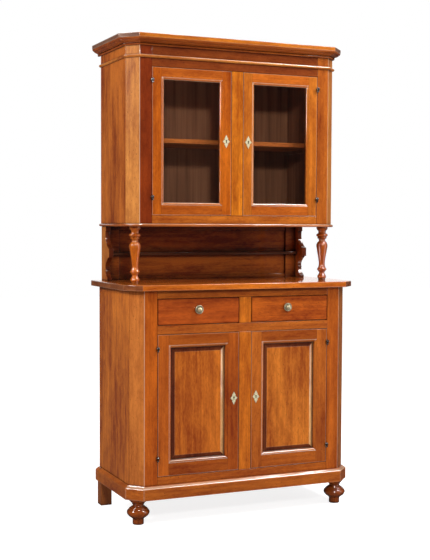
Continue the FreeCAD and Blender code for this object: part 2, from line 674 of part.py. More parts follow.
def niche_shelf():
    """Narrow ledge between the brackets, notched round the stiles of the niche's back."""
    front = HUTCH_BACK - NICHE_SHELF_FRONT
    stile_front = NICHE_FRAME_BACK - NICHE_STILE_THICKNESS
    top = COUNTER_TOP + NICHE_SHELF_TOP
    shelf = prism([
        (-NICHE_HALF, front), (NICHE_HALF, front), (NICHE_HALF, stile_front),
        (NICHE_PANEL_HALF, stile_front), (NICHE_PANEL_HALF, NICHE_PANEL_FRONT),
        (-NICHE_PANEL_HALF, NICHE_PANEL_FRONT), (-NICHE_PANEL_HALF, stile_front), (-NICHE_HALF, stile_front),
    ], top - NICHE_SHELF_THICKNESS, top)
    front_edges = [edge for edge in shelf.Edges
                   if edge.BoundBox.YMax < front + 1e-6 and edge.BoundBox.XLength > 1]
    return shelf.makeFillet(NICHE_SHELF_THICKNESS / 4, front_edges)


save("niche_back", *niche_back())
save("niche_shelf", niche_shelf())


# ---------------------------------------------------------------- hutch

HUTCH_INNER = hutch_plan(-WALL)
HUTCH_INNER_HALF = HUTCH_HALF - WALL
LINING_INNER_HALF = HUTCH_HALF - LINING_INSET
HUTCH_BACK_FACE = HUTCH_BACK - HUTCH_BACK_INSET - BACK_BOARD
HUTCH_SHELF_Z = HUTCH_DOOR_Z0 + HUTCH_SHELF_TOP

HUTCH_BASE_PLAN = hutch_plan(HUTCH_BASE_OVERHANG)
save("hutch_base_board", rounded(
    prism(HUTCH_BASE_PLAN, NICHE_TOP, HUTCH_BOTTOM), HUTCH_BASE_ROUND, HUTCH_BACK))
carcase("hutch", hutch_plan(), HUTCH_INNER, HUTCH_OPENING_HALF, HUTCH_BOTTOM, HUTCH_TOP)
for rail_name, rail_z0, rail_z1 in (
    ("hutch_bottom_rail", HUTCH_BOTTOM, HUTCH_DOOR_Z0),
    ("hutch_frieze_rail", HUTCH_DOOR_Z1, HUTCH_TOP),
):
    save(rail_name, rail(-HUTCH_OPENING_HALF, HUTCH_OPENING_HALF, HUTCH_FRONT, WALL, rail_z0, rail_z1))
save("hutch_centre_stile", *centre_stile(HUTCH_STILE, HUTCH_FRONT, HUTCH_DOOR_Z0, HUTCH_DOOR_Z1))
save("hutch_floor", prism(hutch_plan(-WALL, HUTCH_BACK_FACE), HUTCH_DOOR_Z0 - BOARD, HUTCH_DOOR_Z0))
save("hutch_back_boards", *back_boards(HUTCH_INNER_HALF, HUTCH_BACK_FACE, HUTCH_BOTTOM, HUTCH_TOP))


def hutch_lining():
    """Upright boards that close off the hollow behind the canted corners, and their battens."""
    front = HUTCH_FRONT + WALL
    board = box(LINING_INNER_HALF, LINING_INNER_HALF + LINING_THICKNESS, front, HUTCH_BACK_FACE,
                HUTCH_DOOR_Z0, HUTCH_TOP)
    board = board.common(prism(HUTCH_INNER, HUTCH_DOOR_Z0, HUTCH_TOP))
    pieces = [to_side(board, side) for side in SIDES.values()]
    shelf_bottom = HUTCH_SHELF_Z - HUTCH_SHELF_THICKNESS
    pieces += battens(
        LINING_INNER_HALF, HUTCH_FRONT + HUTCH_SHELF_SETBACK, HUTCH_BACK_FACE, shelf_bottom)
    return pieces


save("hutch_lining", *hutch_lining())
save("hutch_shelf", box(
    -LINING_INNER_HALF + PANEL_PLAY, LINING_INNER_HALF - PANEL_PLAY,
    HUTCH_FRONT + HUTCH_SHELF_SETBACK, HUTCH_BACK_FACE - PANEL_PLAY,
    HUTCH_SHELF_Z - HUTCH_SHELF_THICKNESS, HUTCH_SHELF_Z))


def frieze_bead():
    """Half-round bead planted round the frieze."""
    z0 = HUTCH_DOOR_Z1 + BEAD_ABOVE_DOOR
    radius = BEAD_HEIGHT / 2
    flat = BEAD_PROJECTION - radius
    return mitred_lengths(hutch_plan(), (0.0, z0), [
        (flat, z0), arc((BEAD_PROJECTION, z0 + radius), (flat, z0 + BEAD_HEIGHT)), (0.0, z0 + BEAD_HEIGHT)])


def cornice_moulding():
    """Bead, fillet, cove, fillet and ovolo that swell out from the frieze to the cornice board."""
    top = HUTCH_TOP
    low = top - CORNICE_MOULDING_HEIGHT
    out = CORNICE_OVERHANG - CORNICE_LIP
    cove = 0.75 * out
    return mitred_lengths(hutch_plan(0.0, CORNICE_BACK), (0.0, low), [
        (5.0, low), arc((9.0, low + 4.6), (6.0, low + 9.2)), (10.5, low + 9.2), (10.5, low + 11.6),
        curve((0.55 * cove, low + 12.8), (0.85 * cove, low + 15.6), (cove, low + 19.0)),
        (cove + 2.2, low + 19.0), (cove + 2.2, low + 21.2),
        curve((out - 1.8, low + 23.4), (out, top - 1.5)), (out, top), (0.0, top)])


save("frieze_bead", *frieze_bead())
save("cornice_moulding", *cornice_moulding())
CORNICE_PLAN = hutch_plan(CORNICE_OVERHANG, CORNICE_BACK)
save("cornice_board", rounded(prism(CORNICE_PLAN, HUTCH_TOP, CORNICE_TOP), CORNICE_ROUND, CORNICE_BACK))


# ---------------------------------------------------------------- hinges, locks, escutcheons

def post_hinge(x, y, z):
    """Half of a ball hinge: acorn knuckle, pin, and the leaf on the post's edge."""
    pin_top = z - HINGE_BALL_DROP + HINGE_PIN_LENGTH
    shoulder = z - HINGE_BALL_DROP - HINGE_KNUCKLE_GAP
    pin = turned(
        x, y, (0.0, z - 11.5), curve((2.4, z - 10.8), (HINGE_ACORN_RADIUS, z - 7.4), (3.0, z - 4.6)),
        (3.4, z - 4.2), (3.4, shoulder), (HINGE_PIN_RADIUS, shoulder), (HINGE_PIN_RADIUS, pin_top),
        (0.0, pin_top))
    slack = REVEAL / 2 - HINGE_LEAF
    tab = box(x + slack, x + REVEAL / 2, y + 2.5, y + HINGE_PROUD + 1.0, z - 9.0, z - 4.4)
    leaf = hinge_leaf(x + slack, y, z)
    return pin.fuse([tab, leaf]).removeSplitter().Solids[0]


def door_hinge(x, y, z):
    """The other half: ball knuckle on the pin, and the leaf on the door's edge."""
    bore = HINGE_PIN_RADIUS + HINGE_RUNNING_CLEARANCE
    ball_bottom = z - HINGE_BALL_DROP
    bore_top = ball_bottom + HINGE_PIN_LENGTH + HINGE_PIN_END_GAP
    ball = turned(
        x, y, (bore, ball_bottom), (3.4, ball_bottom), (3.4, ball_bottom + 0.8),
        curve((HINGE_BALL_RADIUS - 0.9, z + 0.2), (HINGE_BALL_RADIUS, z + 4.0),
              (5.2, z + 8.8), (0.0, z + 11.0)),
        (0.0, bore_top), (bore, bore_top))
    leaf_x = x - REVEAL / 2
    tab = box(leaf_x, leaf_x + HINGE_LEAF, y + bore + 1.0, y + HINGE_PROUD + 1.0, z - 2.0, z + 8.0)
    leaf = hinge_leaf(leaf_x, y, z)
    return ball.fuse([tab, leaf]).removeSplitter().Solids[0]


def hinge_leaf(x0, y, z):
    half = HINGE_LEAF_HEIGHT / 2
    y0 = y + HINGE_PROUD + 0.2
    return box(x0, x0 + HINGE_LEAF, y0, y0 + HINGE_LEAF_WIDTH, z - half, z + half)


def escutcheon(x, front, z):
    """Four-pointed pierced brass plate, taller than wide, with a keyhole."""
    tall, wide = ESCUTCHEON_HEIGHT / 2, ESCUTCHEON_WIDTH / 2
    quarter = [
        (0.0, tall), (0.12 * wide, 0.84 * tall), (0.28 * wide, 0.64 * tall), (0.50 * wide, 0.46 * tall),
        (0.44 * wide, 0.36 * tall), (0.36 * wide, 0.27 * tall), (0.60 * wide, 0.26 * tall),
        (0.70 * wide, 0.15 * tall), (0.84 * wide, 0.06 * tall), (wide, 0.0),
    ]
    upper = quarter + [(a, -b) for a, b in reversed(quarter[:-1])]
    around = upper + [(-a, b) for a, b in reversed(upper[1:-1])]
    corners = [Vector(x + a, front, z + b) for a, b in around]
    plate = Part.Face(Part.makePolygon(corners + corners[:1])).extrude(Vector(0, -ESCUTCHEON_THICKNESS, 0))
    rim = [edge for edge in plate.Edges
           if edge.BoundBox.YMax < front - ESCUTCHEON_THICKNESS + 1e-6]
    return plate.makeChamfer(ESCUTCHEON_THICKNESS / 3, rim).cut(keyhole(x, front, z)).Solids[0]


def keyhole(x, front, z):
    """Key-shaped slot: a round eye over a straight slit, cut into plate and stile."""
    eye_z = z + KEYHOLE_HEIGHT / 2 - KEYHOLE_RADIUS
    eye = Part.makeCylinder(
        KEYHOLE_RADIUS, KEYHOLE_DEPTH + ESCUTCHEON_THICKNESS,
        Vector(x, front - ESCUTCHEON_THICKNESS, eye_z), Vector(0, 1, 0))
    half = 0.6 * KEYHOLE_RADIUS
    slit = box(x - half, x + half, front - ESCUTCHEON_THICKNESS, front + KEYHOLE_DEPTH,
               z - KEYHOLE_HEIGHT / 2, eye_z)
    return eye.fuse(slit).removeSplitter()


# ---------------------------------------------------------------- doors

def door_members(x0, x1, front, z0, z1, stile, top_rail, bottom_rail):
    """Two full-height stiles with two rails between them."""
    thickness = DOOR_THICKNESS
    return [
        box(x0, x0 + stile, front, front + thickness, z0, z1),
        box(x1 - stile, x1, front, front + thickness, z0, z1),
        rail(x0 + stile, x1 - stile, front, thickness, z0, z0 + bottom_rail, MEMBER_V),
        rail(x0 + stile, x1 - stile, front, thickness, z1 - top_rail, z1, MEMBER_V),
    ]


def opening_path(x0, x1, z0, z1):
    return [(x0, z0), (x0, z1), (x1, z1), (x1, z0)]


def inner_moulding(path, front, width, depth):
    """Ovolo moulding planted round the inside of a door frame, flush with its face."""
    profile = [
        (1.6, 0.0), (1.6, -0.8),
        curve((0.55 * width, -0.12 * depth), (0.85 * width, -0.36 * depth), (0.95 * width, -0.66 * depth)),
        (width, -0.7 * depth), (width, -depth), (0.0, -depth),
    ]
    return stood_up(mitred_lengths(path, (0.0, 0.0), profile, closed=True), front)


def glazing_bead(path, front, back):
    """Bevelled strips that hold the glass from behind."""
    depth = back - front
    profile = [
        (GLAZING_BEAD_BACK, 0.0), (GLAZING_BEAD_WIDTH, depth / 2), (GLAZING_BEAD_WIDTH, depth), (0.0, depth),
    ]
    return stood_up(mitred_lengths(path, (0.0, 0.0), profile, closed=True), back)


def raised_panel(x0, x1, front, z0, z1):
    """Fielded panel: thin tongue in the frame's grooves, bevelled margin, raised field."""
    edge = front + PANEL_MOULDING_DEPTH + PANEL_PLAY
    field = front + PANEL_FIELD_DEPTH
    seen = PANEL_MOULDING_WIDTH
    tongue = PANEL_GROOVE_DEPTH - 1.0
    plate = box(x0 - tongue, x1 + tongue, edge, edge + PANEL_TONGUE, z0 - tongue, z1 + tongue)
    outer = seen - 1.0
    inner = seen + PANEL_BEVEL
    bevel_front = field + PANEL_SHOULDER
    bevel = Part.makeWedge(
        x0 + inner, bevel_front, z0 + inner, z0 + outer, x0 + outer,
        x1 - inner, edge, z1 - inner, z1 - outer, x1 - outer)
    raised = box(x0 + inner, x1 - inner, field, bevel_front, z0 + inner, z1 - inner)
    return plate.fuse([bevel, raised]).removeSplitter().Solids[0]


def door(prefix, opening_half, stile_width, front, z0, z1, members, hinge_heights, lock_z):
    """Everything of one right-hand door, drawn closed: lists of solids by kind."""
    x0 = stile_width / 2 + REVEAL
    x1 = opening_half - REVEAL
    low, high = z0 + REVEAL, z1 - REVEAL
    stile, top_rail, bottom_rail = members
    inner = (x0 + stile, x1 - stile, low + bottom_rail, high - top_rail)
    frame = door_members(x0, x1, front, low, high, stile, top_rail, bottom_rail)
    path = opening_path(*inner)
    solids = {}
    if prefix == "base":
        frame = [grooved(member, inner, front) for member in frame]
        frame += inner_moulding(path, front, PANEL_MOULDING_WIDTH, PANEL_MOULDING_DEPTH)
        solids["panel"] = [raised_panel(inner[0], inner[1], front, inner[2], inner[3])]
    else:
        frame += inner_moulding(path, front, GLASS_MOULDING_WIDTH, GLASS_MOULDING_DEPTH)
        glass_front = front + GLASS_MOULDING_DEPTH + GLASS_PLAY
        solids["glass"] = [box(
            inner[0] + GLASS_PLAY, inner[1] - GLASS_PLAY, glass_front, glass_front + GLASS_THICKNESS,
            inner[2] + GLASS_PLAY, inner[3] - GLASS_PLAY)]
        frame += glazing_bead(path, glass_front + GLASS_THICKNESS + GLASS_PLAY, front + DOOR_THICKNESS)
    frame = [member.cut(keyhole(ESCUTCHEON_X, front, lock_z)).Solids[0] for member in frame]
    solids["frame"] = frame
    solids["escutcheon"] = [escutcheon(ESCUTCHEON_X, front, lock_z)]
    axis_x, axis_y = opening_half - REVEAL / 2, front - HINGE_PROUD
    back = front + DOOR_THICKNESS
    lock_x0 = stile_width / 2 + STOP_LAP + REVEAL
    lock = box(lock_x0, lock_x0 + LOCK_WIDTH, back, back + LOCK_THICKNESS,
               lock_z - LOCK_HEIGHT / 2, lock_z + LOCK_HEIGHT / 2)
    solids["ironwork"] = [door_hinge(axis_x, axis_y, z) for z in hinge_heights] + [lock]
    return solids


def grooved(member, inner, front):
    """Cuts the panel's groove into a frame member."""
    x0, x1, z0, z1 = inner
    depth = PANEL_GROOVE_DEPTH
    y0 = front + PANEL_MOULDING_DEPTH + PANEL_PLAY / 2
    y1 = y0 + PANEL_TONGUE + PANEL_PLAY
    cutter = box(x0 - depth, x1 + depth, y0, y1, z0 - depth, z1 + depth)
    return member.cut(cutter).Solids[0]


DOOR_KINDS = {
    "base": (
        BASE_OPENING_HALF, BASE_STILE, BASE_FRONT, BASE_DOOR_Z0, BASE_DOOR_Z1,
        (BASE_DOOR_STILE, BASE_DOOR_TOP_RAIL, BASE_DOOR_BOTTOM_RAIL),
        (BASE_DOOR_Z0 + BASE_HINGE_FROM_BOTTOM, BASE_DOOR_Z1 - BASE_HINGE_FROM_TOP),
        BASE_DOOR_Z0 + BASE_ESCUTCHEON_ABOVE_OPENING,
    ),
    "hutch": (
        HUTCH_OPENING_HALF, HUTCH_STILE, HUTCH_FRONT, HUTCH_DOOR_Z0, HUTCH_DOOR_Z1,
        (HUTCH_DOOR_STILE, HUTCH_DOOR_TOP_RAIL, HUTCH_DOOR_BOTTOM_RAIL),
        (HUTCH_DOOR_Z0 + HUTCH_HINGE_FROM_BOTTOM, HUTCH_DOOR_Z1 - HUTCH_HINGE_FROM_TOP),
        HUTCH_DOOR_Z0 + HUTCH_ESCUTCHEON_ABOVE_OPENING,
    ),
}

POST_HINGES = []
for kind, sizes in DOOR_KINDS.items():
    closed_door = door(kind, *sizes)
    for side_name, side_sign in SIDES.items():
        for piece, piece_solids in closed_door.items():
            save(f"{kind}_door_{side_name}_{piece}", *[to_side(solid, side_sign) for solid in piece_solids])
        for hinge_z in sizes[6]:
            half_hinge = post_hinge(sizes[0] - REVEAL / 2, sizes[2] - HINGE_PROUD, hinge_z)
            POST_HINGES.append(to_side(half_hinge, side_sign))
save("post_hinges", *POST_HINGES)


# ---------------------------------------------------------------- drawers

def drawer_front():
    x0 = BASE_STILE / 2 + REVEAL
    x1 = BASE_OPENING_HALF - REVEAL
    return box(x0, x1, BASE_FRONT, BASE_FRONT + DOOR_THICKNESS, DRAWER_Z0 + REVEAL, DRAWER_Z1 - REVEAL)


def drawer_box():
    """Two sides, a back and a bottom let in between them, behind the drawer front."""
    x0 = BASE_STILE / 2 + REVEAL + DRAWER_BOX_INSET
    x1 = BASE_OPENING_HALF - REVEAL - DRAWER_BOX_INSET
    y0 = BASE_FRONT + DOOR_THICKNESS
    y1 = y0 + DRAWER_BOX_DEPTH
    z0 = DRAWER_Z0 + SLIDE_CLEARANCE
    z1 = z0 + DRAWER_BOX_HEIGHT
    bottom = z0 + DRAWER_BOTTOM_LIFT
    return [
        box(x0, x0 + DRAWER_SIDE, y0, y1, z0, z1),
        box(x1 - DRAWER_SIDE, x1, y0, y1, z0, z1),
        box(x0 + DRAWER_SIDE, x1 - DRAWER_SIDE, y1 - DRAWER_SIDE, y1, bottom + DRAWER_BOTTOM, z1),
        box(x0 + DRAWER_SIDE, x1 - DRAWER_SIDE, y0, y1, bottom, bottom + DRAWER_BOTTOM),
    ]


def knob(x):
    """Cast brass knob: foot, neck, rim with a groove inside it, and a dome in the middle."""
    z = DRAWER_Z0 + KNOB_ABOVE_RUNNER
    dome = KNOB_DOME_RADIUS
    rim = KNOB_RIM_RADIUS
    wire = outline_wire((0.0, 0.0), [
        (10.0, 0.0), arc((10.6, 1.2), (9.5, 2.4)), curve((6.6, 5.4), (8.2, 9.0)), (rim - 2.0, 11.2),
        arc((rim, 13.4), (rim - 1.8, 15.4)), curve((rim - 4.6, 14.0), (dome, 14.4)), (dome, 17.0),
        curve((0.95 * dome, KNOB_LENGTH - 7.6), (0.75 * dome, KNOB_LENGTH - 3.6),
              (0.4 * dome, KNOB_LENGTH - 0.9), (0.0, KNOB_LENGTH)),
    ], lambda r, out: Vector(x + r, BASE_FRONT - out, z))
    return Part.Face(wire).revolve(Vector(x, 0, z), Vector(0, 1, 0), 360)


for side_name, side_sign in SIDES.items():
    save(f"drawer_{side_name}_front", to_side(drawer_front(), side_sign))
    save(f"drawer_{side_name}_box", *[to_side(solid, side_sign) for solid in drawer_box()])
save("drawer_left_knob", knob(KNOB_X_LEFT))
save("drawer_right_knob", knob(KNOB_X_RIGHT))
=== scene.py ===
import math
import random

import bpy
from mathutils import Matrix, Vector


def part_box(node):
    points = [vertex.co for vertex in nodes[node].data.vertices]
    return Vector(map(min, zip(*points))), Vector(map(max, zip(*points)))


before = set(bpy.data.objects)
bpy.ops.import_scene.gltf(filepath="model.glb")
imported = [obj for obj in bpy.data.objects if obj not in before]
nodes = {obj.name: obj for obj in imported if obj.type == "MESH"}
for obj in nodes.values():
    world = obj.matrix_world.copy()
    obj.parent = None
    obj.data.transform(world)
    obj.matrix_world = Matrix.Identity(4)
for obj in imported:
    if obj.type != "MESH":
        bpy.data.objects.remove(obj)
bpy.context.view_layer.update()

# ---------------------------------------------------------------------------------------------
# Sides and corner posts of the base: upright boards of fruitwood, each corner a canted board
# mitred to its side and glued to a return on the front. They are stained a warm orange-brown,
# glazed darker in the pores and hollows, and French polished, like every outer board here; the
# darkening of the hollows is partly painted shade. On each post the canted face and the return
# differ partly in board tone and partly as painted sheen, and a painted highlight runs on their arris.


def rgb(red, green, blue):
    """A screen colour, 0 to 255, as the linear colour that shaders take."""
    screen = [value / 255 for value in (red, green, blue)]
    return tuple(((v + 0.055) / 1.055) ** 2.4 if v > 0.04 else v / 12.92 for v in screen) + (1,)


def put(tree, kind, sockets=(), **settings):
    """One shader node, with its settings, and its sockets set or linked."""
    shader_node = tree.nodes.new(kind)
    for key, value in settings.items():
        setattr(shader_node, key, value)
    for key, value in dict(sockets).items():
        if isinstance(value, bpy.types.NodeSocket):
            tree.links.new(value, shader_node.inputs[key])
        else:
            shader_node.inputs[key].default_value = value
    return shader_node


def sums(tree, operation, first, second=0.0, third=0.0):
    """One sum worked on values inside a material."""
    return put(tree, "ShaderNodeMath", {0: first, 1: second, 2: third}, operation=operation).outputs[0]


def blend(tree, amount, first, second, mode="MIX"):
    """The first colour, with this amount of the second laid over it."""
    mixed = put(tree, "ShaderNodeMix", {0: amount, 6: first, 7: second}, data_type="RGBA", blend_type=mode)
    return mixed.outputs[2]


def ramp(tree, value, low, high, to_low=0.0, to_high=1.0):
    """A value spread from one range to another, and held at both ends."""
    sockets = {0: value, 1: low, 2: high, 3: to_low, 4: to_high}
    return put(tree, "ShaderNodeMapRange", sockets, clamp=True).outputs[0]


def axes(tree, kind):
    """X, Y and Z of a place on the piece, or of the way its face points."""
    coordinates = put(tree, "ShaderNodeTexCoord").outputs[kind]
    return put(tree, "ShaderNodeSeparateXYZ", {0: coordinates}).outputs


RUBBED_AND_HIGHLIT_RIM = 0.0022


def grain_space(tree, grain, window):
    """Vector whose Z runs along the grain.

    For framed doors it also gives a mask of the level members, and one of the places painted
    pale: the moulding as a painted highlight, save its right-hand length, which faces away from
    the light, and the outer arris of the frame, as worn polish and painted highlight.
    """
    x, y, z = axes(tree, "Object")

    def order(first, second, along):
        return put(tree, "ShaderNodeCombineXYZ", {0: first, 1: second, 2: along}).outputs[0]

    if grain == "X":
        return order(z, y, x), None, None
    if grain == "Y":
        return order(z, x, y), None, None
    if grain == "round":
        along = sums(tree, "MULTIPLY_ADD", y, 1.7, x)
        return order(z, sums(tree, "MULTIPLY", y, 0.3), along), None, None
    if grain == "framed":
        def past(value, low, high):
            """How far a place lies past either end of a span, less than 0 inside it."""
            from_middle = sums(tree, "ABSOLUTE", sums(tree, "SUBTRACT", value, (low + high) / 2))
            return sums(tree, "SUBTRACT", from_middle, (high - low) / 2)

        x0, x1, z0, z1 = window[0]
        past_x, past_z = past(x, x0, x1), past(z, z0, z1)
        inside = sums(tree, "LESS_THAN", past_x, 0.0)
        # The moulding gets a painted highlight, all but its right-hand length, which stays as the shaded
        # side.
        highlit_moulding = sums(tree, "LESS_THAN", sums(tree, "MAXIMUM", past_x, past_z), 0.0)
        upright = sums(tree, "GREATER_THAN", past_x, past_z)
        shaded_right_hand = sums(tree, "MULTIPLY", upright, sums(tree, "GREATER_THAN", x, (x0 + x1) / 2))
        highlit_moulding = sums(tree, "MULTIPLY", highlit_moulding, sums(tree, "SUBTRACT", 1.0, shaded_right_hand))
        x0, x1, z0, z1 = window[1]
        farthest = sums(tree, "MAXIMUM", past(x, x0, x1), past(z, z0, z1))
        outermost = sums(tree, "GREATER_THAN", farthest, -RUBBED_AND_HIGHLIT_RIM)
        rubbed_and_highlit = sums(tree, "MAXIMUM", highlit_moulding, sums(tree, "MULTIPLY", outermost, 0.55))
        level = sums(tree, "MULTIPLY", inside, sums(tree, "GREATER_THAN", past_z, past_x))
        both = {0: level, 4: order(x, y, z), 5: order(z, y, x)}
        return put(tree, "ShaderNodeMix", both, data_type="VECTOR").outputs[1], level, rubbed_and_highlit
    return order(x, y, z), None, None


PORE_BROWN = rgb(60, 26, 12)
GLAZE_AND_PAINTED_SHADE = rgb(62, 25, 11)
OLD_WAX = rgb(96, 46, 24)
TURNED_EDGE_SHADE = rgb(92, 40, 18)
RUBBED_AND_HIGHLIT_WOOD = rgb(226, 194, 164)
ARRIS_DEPTH = 0.005


def stained_wood(name, grain, seed, colour, window=None, second=None, split=0.0, ends=None,
                 shaded_and_lit_bevels=None, figure=1.0, gloss=1.0, worn=0.0, nose_highlight=0.0, glaze_and_shade_reach=0.016, grime=0.0,
                 turned=False):
    """Stained and polished boards.

    The second colour is for level members of a frame, or past the split in metres along X. On
    the corner posts the two sides of the split differ partly in board tone and partly as painted
    sheen and painted shade, and a pale painted highlight runs along the split.
    The ends colour is for faces square to X, or to the grain, where it takes the stain darker.
    The two bevels colours are for the sloped borders of a raised panel: the first darkens its left,
    top and bottom slopes, partly as end grain and partly as painted shade, and the second is a
    painted highlight on its right slope.
    Worn is how far the arrises are painted pale, as worn polish and as painted highlight; nosing
    paints a highlight along rounded upper edges in front, and reach is how far from an inside
    corner or overhang the colour is darkened, partly as dark glaze and partly as painted shade.
    Grime is how much dark wax has gathered on the arrises. Turned work has a thicker coloured
    polish, and is darkened towards its outline edges as painted shade.
    """
    material = bpy.data.materials.new(name)
    material.use_nodes = True
    tree = material.node_tree
    surface = tree.nodes["Principled BSDF"]
    draw = random.Random(seed)
    space, level, rubbed_and_highlit = grain_space(tree, grain, window)
    shift = [draw.uniform(-3, 3) for _ in range(3)]

    def cloud(across, along, detail=2.0, rough=0.5, bend=0.0):
        """Mottling drawn out along the grain."""
        sockets = {"Vector": space, "Location": shift, "Scale": (across, across, along)}
        stretched = put(tree, "ShaderNodeMapping", sockets).outputs[0]
        return put(tree, "ShaderNodeTexNoise", {
            "Vector": stretched, "Scale": 1.0, "Detail": detail, "Roughness": rough,
            "Distortion": bend}).outputs[0]

    broad = cloud(9.0, 1.5, 1.0, 0.4, 0.8)
    patch = cloud(30.0, 9.0, 3.0, 0.55, 0.7)
    streak = cloud(84.0, 2.6, 3.0, 0.6, 0.3)
    grit = cloud(200.0, 55.0, 2.0, 0.6)
    speck = cloud(300.0, 170.0, 0.0)

    shade = sums(tree, "MULTIPLY_ADD", broad, 0.30, sums(tree, "MULTIPLY", patch, 0.28))
    shade = sums(tree, "MULTIPLY_ADD", streak, 0.24, shade)
    shade = sums(tree, "MULTIPLY_ADD", grit, 0.18, shade)
    amount = ramp(tree, shade, 0.50 - 0.13 / figure, 0.50 + 0.13 / figure)

    def spread(base):
        """A stain colour, deeper and brighter as the figure of the wood takes it."""
        red, green, blue = base
        deep = rgb(red * 0.76, green * 0.64, blue * 0.58)
        bright = rgb(min(255, red * 1.15), green * 1.27, blue * 1.3)
        return blend(tree, amount, deep, bright)

    mixed = spread(colour)
    normal = axes(tree, "Normal")
    if level:
        mixed = blend(tree, level, mixed, spread(second or colour))
    elif second:
        x = axes(tree, "Object")[0]
        mixed = blend(tree, ramp(tree, x, split - 0.0004, split + 0.0004), mixed, spread(second))
    if ends:
        square_on = sums(tree, "ABSOLUTE", normal[0])
        mixed = blend(tree, ramp(tree, square_on, 0.35, 0.65), mixed, spread(ends))
    # Panel slopes: painted shade on the left, top and bottom, partly end grain, and a painted highlight on
    # the right.
    if shaded_and_lit_bevels:
        tilted, forward = ramp(tree, normal[1], -0.996, -0.992), ramp(tree, normal[1], -0.90, -0.95)
        sloped = sums(tree, "MULTIPLY", tilted, forward)
        both = blend(tree, ramp(tree, normal[0], 0.02, 0.04), spread(shaded_and_lit_bevels[0]), spread(shaded_and_lit_bevels[1]))
        mixed = blend(tree, sloped, mixed, both)
    mixed = blend(tree, ramp(tree, speck, 0.76, 0.82, 0.0, 0.6), mixed, PORE_BROWN)
    # Darkening near inside corners and under overhangs: partly dark glaze, partly painted shade.
    hollow = put(tree, "ShaderNodeAmbientOcclusion", {"Distance": glaze_and_shade_reach}, samples=8).outputs["AO"]
    mixed = blend(tree, ramp(tree, hollow, 0.38, 0.86, 0.95, 0.0), mixed, GLAZE_AND_PAINTED_SHADE, "MULTIPLY")
    # Pale lines on the arrises: partly worn polish, partly painted highlight.
    arris = put(
        tree, "ShaderNodeAmbientOcclusion", {"Distance": ARRIS_DEPTH}, samples=4, inside=True).outputs["AO"]
    pale_wear_and_highlight = ramp(tree, arris, 0.88, 0.60, 0.0, 0.75 if level else worn)
    if level:
        in_front = ramp(tree, normal[1], 0.1, -0.1)
        pale_wear_and_highlight = sums(tree, "MULTIPLY", pale_wear_and_highlight, sums(tree, "MULTIPLY", rubbed_and_highlit, in_front))
    elif second:
        # A pale painted highlight along the arris at the split.
        from_highlit_split = sums(tree, "ABSOLUTE", sums(tree, "SUBTRACT", x, split))
        pale_wear_and_highlight = sums(tree, "MAXIMUM", pale_wear_and_highlight, ramp(tree, from_highlit_split, 0.0010, 0.0016, 0.6, 0.0))
    # A painted highlight along rounded upper edges in front.
    if nose_highlight:
        upper = sums(tree, "MULTIPLY", ramp(tree, normal[2], 0.50, 0.60), ramp(tree, normal[2], 0.86, 0.78))
        upper = sums(tree, "MULTIPLY", upper, ramp(tree, normal[1], -0.15, -0.35, 0.0, nose_highlight))
        pale_wear_and_highlight = sums(tree, "MAXIMUM", pale_wear_and_highlight, upper)
    mixed = blend(tree, pale_wear_and_highlight, mixed, RUBBED_AND_HIGHLIT_WOOD)
    patchy = ramp(tree, patch, 0.54, 0.62, grime)
    kept = sums(tree, "MULTIPLY", ramp(tree, arris, 0.88, 0.60, 0.0, max(0.3, grime)), patchy)
    mixed = blend(tree, kept, mixed, OLD_WAX, "MULTIPLY")
    # Turned work darkens towards its outline as painted shade.
    if turned:
        facing = put(tree, "ShaderNodeLayerWeight", {"Blend": 0.5}).outputs["Facing"]
        mixed = blend(tree, ramp(tree, facing, 0.30, 0.90, 0.0, 0.8), mixed, TURNED_EDGE_SHADE, "MULTIPLY")
    tree.links.new(mixed, surface.inputs["Base Color"])

    tree.links.new(sums(tree, "MULTIPLY_ADD", patch, 0.16, 0.34), surface.inputs["Roughness"])
    height = sums(tree, "MULTIPLY_ADD", streak, 0.6, grit)
    bump = put(tree, "ShaderNodeBump", {
        "Strength": 0.02 if turned else 0.035, "Distance": 0.0005, "Height": height}).outputs[0]
    tree.links.new(bump, surface.inputs["Normal"])
    surface.inputs["Specular IOR Level"].default_value = 0.05
    surface.inputs["Coat Weight"].default_value = gloss
    surface.inputs["Coat IOR"].default_value = 1.95 if turned else 1.8
    surface.inputs["Coat Roughness"].default_value = 0.03 if turned else 0.07
    return material


SANDED_ARRIS = 0.0009


def finish_node(name, material, edge=SANDED_ARRIS):
    """Gives a CAD node its material, and softens its arrises as sanding does."""
    node = nodes[name]
    if not node.material_slots:
        node.data.materials.append(material)
    for slot in node.material_slots:
        slot.material = material
    if edge:
        node.modifiers.new("closed faces", "WELD").merge_threshold = 0.00002
        flat = node.modifiers.new("whole faces", "DECIMATE")
        flat.decimate_type = "DISSOLVE"
        flat.angle_limit = math.radians(0.5)
        soft = node.modifiers.new("sanded arris", "BEVEL")
        soft.width = edge
        soft.segments = 1
        soft.limit_method = "ANGLE"
        soft.angle_limit = math.radians(35)
        soft.harden_normals = True


BASE_CANT_START = -0.464
finish_node("base_side_left", stained_wood(
    "base side, left", "Z", 10, (201, 103, 34), figure=1.3, glaze_and_shade_reach=0.03))
finish_node("base_side_right", stained_wood("base side, right", "Z", 11, (184, 100, 36), figure=1.3))
# Canted face and return: partly board tone, partly painted sheen, with a painted highlight on their arris.
finish_node("base_post_left", stained_wood(
    "base corner, left", "Z", 20, (189, 100, 42), second=(191, 85, 18), split=BASE_CANT_START))
finish_node("base_post_right", stained_wood(
    "base corner, right", "Z", 21, (190, 88, 22), second=(190, 104, 40), split=-BASE_CANT_START))

# ---------------------------------------------------------------------------------------------
# Front frame of the base: level rails tenoned between the corner posts, and the upright stile
# and drawer divider between them. Fruitwood, the grain along each member.

